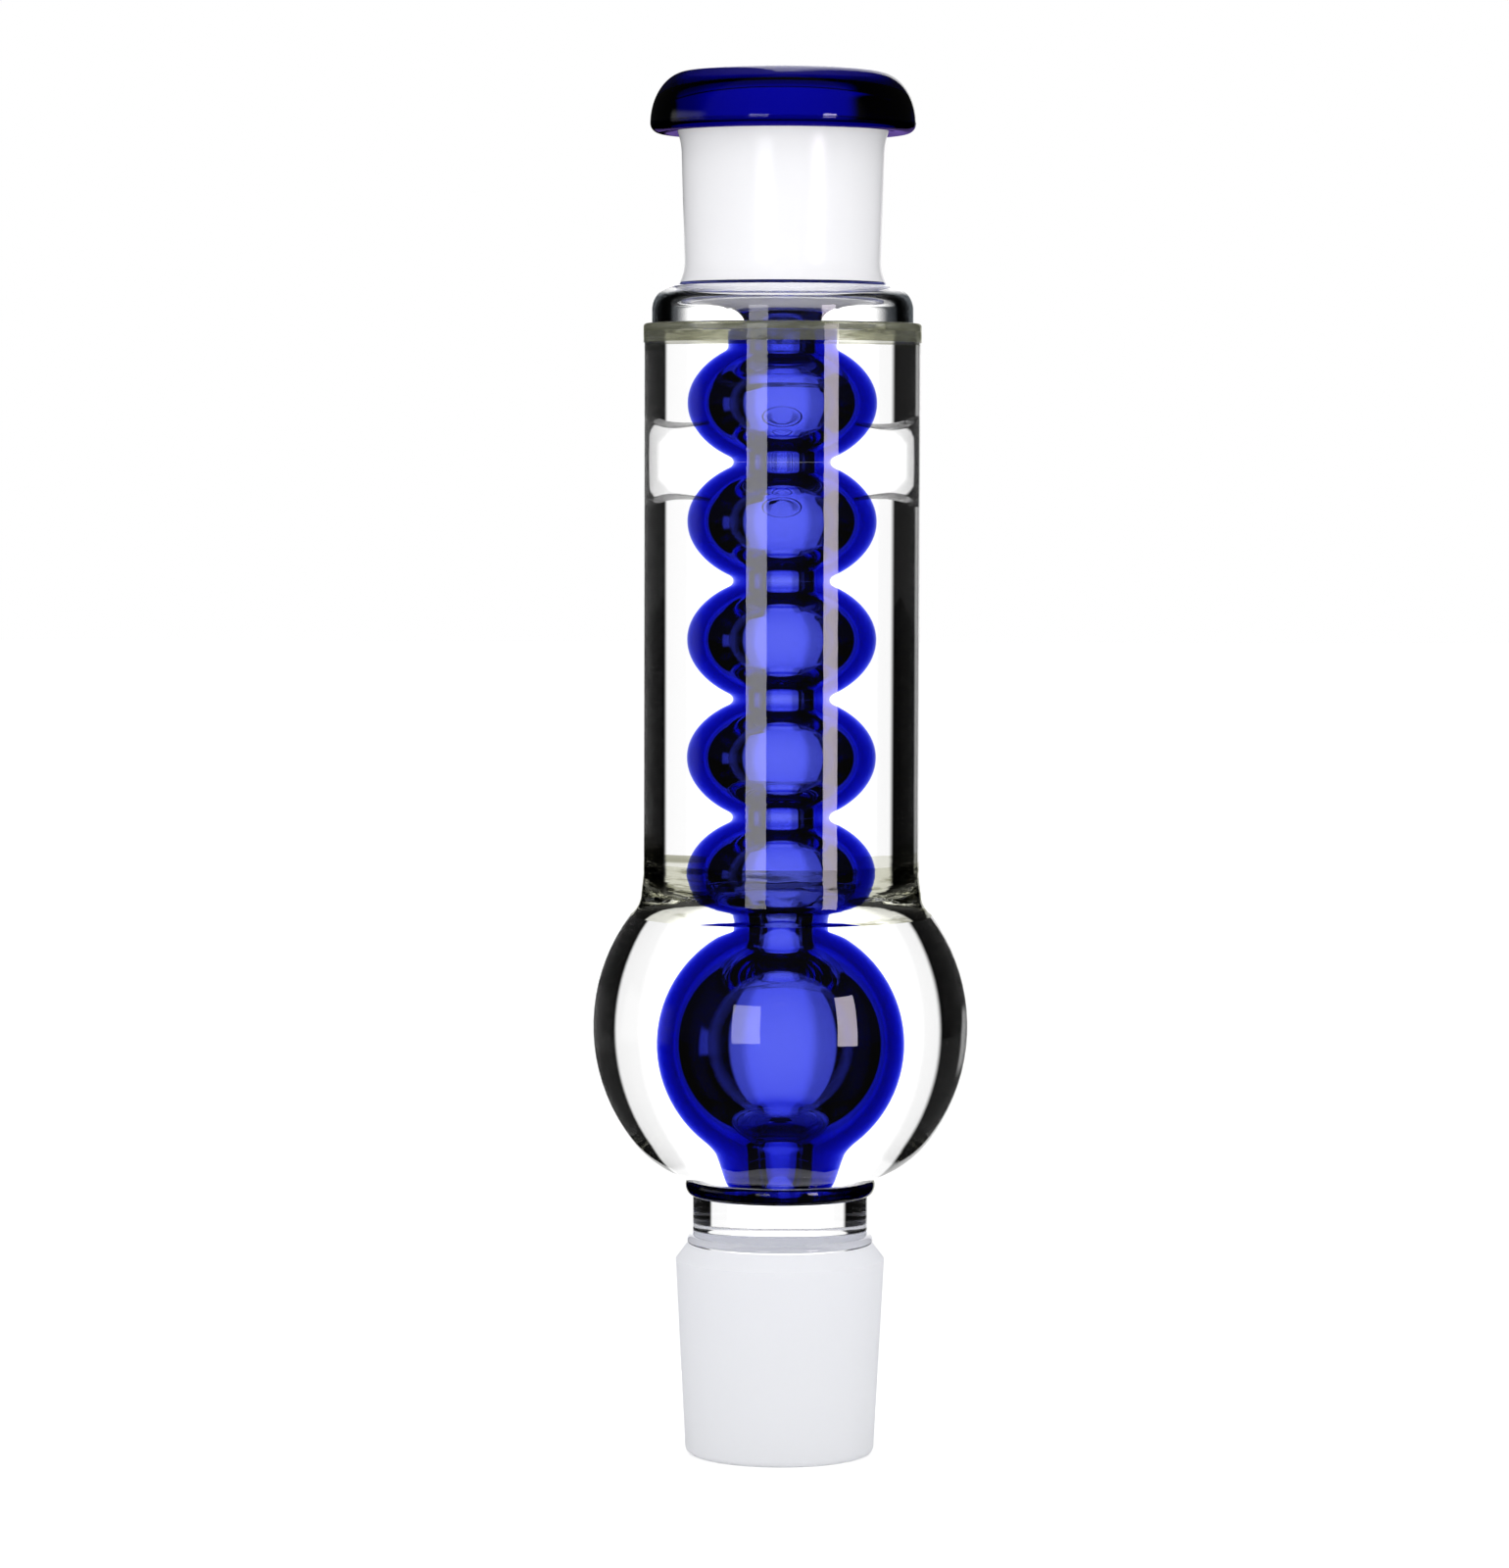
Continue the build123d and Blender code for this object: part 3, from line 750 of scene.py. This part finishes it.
neck_seal = turn("neck_seam", [
    (OPAL_BORE_RADIUS, shoulder_top), (NECK_BASE_RADIUS, shoulder_top),
    (NECK_BASE_RADIUS + NECK_SEAL_PROUD, (shoulder_top + opal_bottom) / 2),
    (NECK_BASE_RADIUS, opal_bottom), (OPAL_BORE_RADIUS, opal_bottom),
])
mark_air(neck_seal, lambda radius, height, outward, upward: abs(outward) > STEEP)
finish_piece(neck_seal, "neck_seal_ring", cobalt)


# ---------------------------------------------------------------- cobalt bulb string

def string_section(low, high):
    """Closed section of the string between two heights, a hair clear of its neighbours."""
    low, high = low + SEAM_GAP, high - SEAM_GAP
    outside = trimmed(string_outline(), low, high)
    inside = trimmed(passage_outline(), low, high)
    return outside + inside[::-1]


def string_piece(name, node, low, high):
    """A length of the string: air inside it, and glycerine outside up to the fill level."""
    piece = turn(name, string_section(low, high))
    mark_air(piece, lambda radius, height, outward, upward: (
        abs(upward) < DEAD_LEVEL and (outward < 0 or height > fill_level)))
    finish_piece(piece, node, cobalt)


string_piece("cobalt_inlet", "inlet_stub", stub_bottom, funnel_bottom)
for number, (low, high) in enumerate(bulb_limits, start=1):
    string_piece(f"cobalt_bulb_{number}", f"condenser_bulb_{number}", low, high)
string_piece("cobalt_link", "link_neck", link_bottom, link_top)
string_piece("cobalt_large_bulb", "large_bulb", tail_top, link_bottom)
string_piece("cobalt_tail", "outlet_tail", floor_bottom, tail_top)

# The liquid keeps its CAD solid
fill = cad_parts["glycerine_fill"]
fill.data.materials.clear()
fill.data.materials.append(glycerine)


# ---------------------------------------------------------------- fill port

# Drawn about Z with the tube's axis as zero height, then tipped to face +Y
dish_ball = (PORT_DISH_RADIUS**2 + PORT_DISH_DEPTH**2) / (2 * PORT_DISH_DEPTH)
port_face = TUBE_RADIUS + PORT_PROUD
dish_centre = port_face - PORT_DISH_DEPTH + dish_ball
dish_swing = math.asin(PORT_DISH_RADIUS / dish_ball)
button = turn("port_button", [
    (0, TUBE_RADIUS - PORT_ROOT), (PORT_RADIUS, TUBE_RADIUS - PORT_ROOT),
    *arc((PORT_RADIUS - PORT_ROUNDING, port_face - PORT_ROUNDING), PORT_ROUNDING, 0, math.pi / 2),
    *arc((0, dish_centre), dish_ball, dish_swing - math.pi / 2, -math.pi / 2),
])
button.rotation_euler = (-math.pi / 2, 0, 0)
button.location = (0, 0, port_height * MM)
bpy.ops.object.transform_apply(location=True, rotation=True, scale=True)
select_none()
bpy.ops.mesh.primitive_cylinder_add(
    vertices=AROUND, radius=(TUBE_RADIUS + SEAM_GAP) * MM, depth=PORT_CUTTER_LENGTH * MM,
    location=(0, 0, port_height * MM))
cutter = bpy.context.object
select_none()
button.select_set(True)
bpy.context.view_layer.objects.active = button
cut = button.modifiers.new("seat", "BOOLEAN")
cut.operation = "DIFFERENCE"
cut.object = cutter
cut.solver = "EXACT"
bpy.ops.object.modifier_apply(modifier=cut.name)
bpy.data.objects.remove(cutter)
bpy.ops.object.shade_smooth_by_angle(angle=SHARP_EDGE)
mark_air(button, lambda radius, height, outward, upward: True)
finish_piece(button, "fill_port_seal", clear)


# ---------------------------------------------------------------- studio

# Camera, in metres
CAMERA_DISTANCE = 0.887
CAMERA_HEIGHT = 0.164
VIEW_HEIGHT = 0.2579
AIM_HEIGHT = 0.1109
AIM_SIDE = -0.00455
CAMERA_ROLL = math.radians(-0.15)
SENSOR_HEIGHT = 36

# The room: bright to matt parts, dim to glass except for a grey wall far to the left
AMBIENT = 0.97
FRONT = 0.05
LEFT_EDGE = math.radians(66)
LEFT_GLOW = 0.55
LEFT_GLOW_LOW = math.radians(8)
LEFT_GLOW_HIGH = math.radians(14)
RIGHT_EDGE = math.radians(100)
DIM_ROOM = 0.009
SOFTNESS = math.radians(3)

# White card close behind the glass, which only the glass sees, in millimetres
CARD_BEHIND = 80
CARD_LEFT = 41
CARD_RIGHT = 50
CARD_SOFT_EDGE = 3
CARD_BOTTOM = -60
CARD_TOP = 600
CARD_WIDTH = 200
CARD_MIDDLE = 24
CARD_MIDDLE_GLOW = 1.8
CARD_EDGE_GLOW = 1.05
# The card is narrower behind the lip, whose ends stay black
LEFT_TRIM_AT_LIP = 23
RIGHT_TRIM_AT_LIP = 6
TRIM_STARTS_BELOW_LIP = 15
TRIM_ENDS_BELOW_LIP = 5

# White table, and the height from which the glass sees it, in metres
TABLE_SIZE = 8
OBJECT_MIDDLE = 0.11
TABLE_WHITE = 0.8
TABLE_GLOSS_SHARE = 0.08
TABLE_GLOSS_ROUGHNESS = 0.08
TABLE_GLOW = 0.4

camera_data = bpy.data.cameras.new("camera")
camera = bpy.data.objects.new("camera", camera_data)
bpy.context.collection.objects.link(camera)
camera_data.sensor_fit = "VERTICAL"
camera_data.sensor_height = SENSOR_HEIGHT
camera_data.lens = SENSOR_HEIGHT * CAMERA_DISTANCE / VIEW_HEIGHT
camera.location = (AIM_SIDE, -CAMERA_DISTANCE, CAMERA_HEIGHT)
camera.rotation_euler = (
    math.pi / 2 - math.atan2(CAMERA_HEIGHT - AIM_HEIGHT, CAMERA_DISTANCE), CAMERA_ROLL, 0)
bpy.context.scene.camera = camera


def softbox(name, azimuth, distance, height, size, power, colour, in_glass):
    """Soft light that faces the object: a shape seen in the glass, or light on matt parts."""
    light = bpy.data.lights.new(name, "AREA")
    light.shape = "RECTANGLE"
    light.size, light.size_y = size
    light.energy = power
    light.color = colour
    lamp = bpy.data.objects.new(name, light)
    bpy.context.collection.objects.link(lamp)
    angle = math.radians(azimuth)
    lamp.location = (distance * math.sin(angle), -distance * math.cos(angle), height)
    lamp.rotation_euler = (math.pi / 2, 0, angle)
    lamp.visible_camera = False
    lamp.visible_transmission = False
    lamp.visible_glossy = in_glass
    lamp.visible_diffuse = not in_glass


softbox("right_strip", azimuth=40, distance=0.60, height=0.12, size=(0.13, 0.36), power=1.5,
        colour=(0.98, 0.88, 1.0), in_glass=True)
softbox("left_strip", azimuth=-21, distance=0.80, height=0.14, size=(0.24, 0.36), power=1.5,
        colour=(0.96, 0.96, 1.0), in_glass=True)
softbox("key", azimuth=2, distance=0.60, height=0.10, size=(0.40, 0.36), power=1.0,
        colour=(1, 1, 1), in_glass=False)
softbox("foot_light", azimuth=0, distance=0.40, height=0.015, size=(0.08, 0.05), power=0.3,
        colour=(1, 1, 1), in_glass=False)


def beyond(value, edge, softness):
    """0 below an edge, 1 above it, smooth over a width."""
    return value.ramp(edge - softness, edge + softness)


def between(value, low, high, softness):
    """1 between two values, 0 outside them, smooth over a width."""
    return beyond(value, low, softness) * (1 - beyond(value, high, softness))


def side_glow(f, x, y, z):
    """How bright the dim room is in a direction: a grey wall far left, a dim front."""
    turned = f.node("ShaderNodeMath", {"operation": "ARCTAN2"}, abs(x), y)
    rise = f.node("ShaderNodeMath", {"operation": "ARCTAN2"}, abs(z), (x * x + y * y).root())
    wall = (x < 0) * beyond(turned, LEFT_EDGE, SOFTNESS)
    wall = wall * (1 - rise.ramp(LEFT_GLOW_LOW, LEFT_GLOW_HIGH))
    front = turned.ramp(RIGHT_EDGE, RIGHT_EDGE + 4 * SOFTNESS)
    return wall * (1 - front) * LEFT_GLOW + front * FRONT


world = bpy.data.worlds.new("studio")
bpy.context.scene.world = world
f = Finish(world)
camera_ray = f.path("Camera")
diffuse_ray = f.path("Diffuse")
x, y, z = f.split(f.node("ShaderNodeTexCoord", {}, output="Generated"))
in_glass = side_glow(f, x, y, z) + DIM_ROOM
strength = camera_ray + diffuse_ray * AMBIENT + (1 - camera_ray - diffuse_ray) * in_glass
background = f.node("ShaderNodeBackground", {}, WHITE, strength)
world_output = f.node("ShaderNodeOutputWorld", {})
f.tree.links.new(background.socket, world_output.inputs["Surface"])

select_none()
bpy.ops.mesh.primitive_plane_add(
    size=1, location=(0, CARD_BEHIND * MM, (CARD_BOTTOM + CARD_TOP) / 2 * MM),
    rotation=(math.pi / 2, 0, 0))
card = bpy.context.object
card.name = "white_card"
card.scale = (CARD_WIDTH * MM, (CARD_TOP - CARD_BOTTOM) * MM, 1)
bpy.ops.object.transform_apply(location=True, rotation=True, scale=True)
card_material, f = new_material("white_card")
x, y, z = f.split(f.place())
at_lip = z.ramp((lip_bottom - TRIM_STARTS_BELOW_LIP) * MM, (lip_bottom - TRIM_ENDS_BELOW_LIP) * MM)
past_left = beyond(x - at_lip * (LEFT_TRIM_AT_LIP * MM), -CARD_LEFT * MM, CARD_SOFT_EDGE * MM)
past_right = beyond(x + at_lip * (RIGHT_TRIM_AT_LIP * MM), CARD_RIGHT * MM, CARD_SOFT_EDGE * MM)
on_card = past_left * (1 - past_right)
middle = between(x, -CARD_MIDDLE * MM, CARD_MIDDLE * MM, 2 * CARD_SOFT_EDGE * MM)
lit_card = f.mix(middle, f.emission(CARD_EDGE_GLOW), f.emission(CARD_MIDDLE_GLOW))
f.surface(f.mix(on_card, f.open_wall(), lit_card))
card.data.materials.append(card_material)
card.visible_camera = False
card.visible_diffuse = False
card.visible_shadow = False

select_none()
bpy.ops.mesh.primitive_plane_add(size=TABLE_SIZE)
table = bpy.context.object
table.name = "white_table"
table_material, f = new_material("white_table")
camera_ray = f.path("Camera")
x, y, z = f.split(f.place())
# To glass, the table is a white strip under the card and dim elsewhere
strip = between(x, -CARD_LEFT * MM, CARD_RIGHT * MM, CARD_SOFT_EDGE * MM) * (y > 0)
lit = strip + (1 - strip) * side_glow(f, x, y, z - OBJECT_MIDDLE)
table_in_glass = f.mix(lit, f.emission(0.0), f.emission(1.0))
# To the camera and to matt parts, it is a pale surface that keeps the object's shadow
matt = f.node("ShaderNodeBsdfDiffuse", {}, (TABLE_WHITE, TABLE_WHITE, TABLE_WHITE, 1))
gloss = f.node("ShaderNodeBsdfGlossy", {}, WHITE, TABLE_GLOSS_ROUGHNESS)
glow = f.mix(camera_ray, f.emission(0.0), f.emission(TABLE_GLOW))
pale_table = f.node("ShaderNodeAddShader", {}, f.mix(TABLE_GLOSS_SHARE, matt, gloss), glow)
f.surface(f.mix(camera_ray + f.path("Diffuse"), table_in_glass, pale_table))
table.data.materials.append(table_material)

scene = bpy.context.scene
scene.view_settings.view_transform = "Standard"
scene.cycles.max_bounces = 32
scene.cycles.transmission_bounces = 32
scene.cycles.glossy_bounces = 12
scene.cycles.diffuse_bounces = 4
scene.cycles.transparent_max_bounces = 64
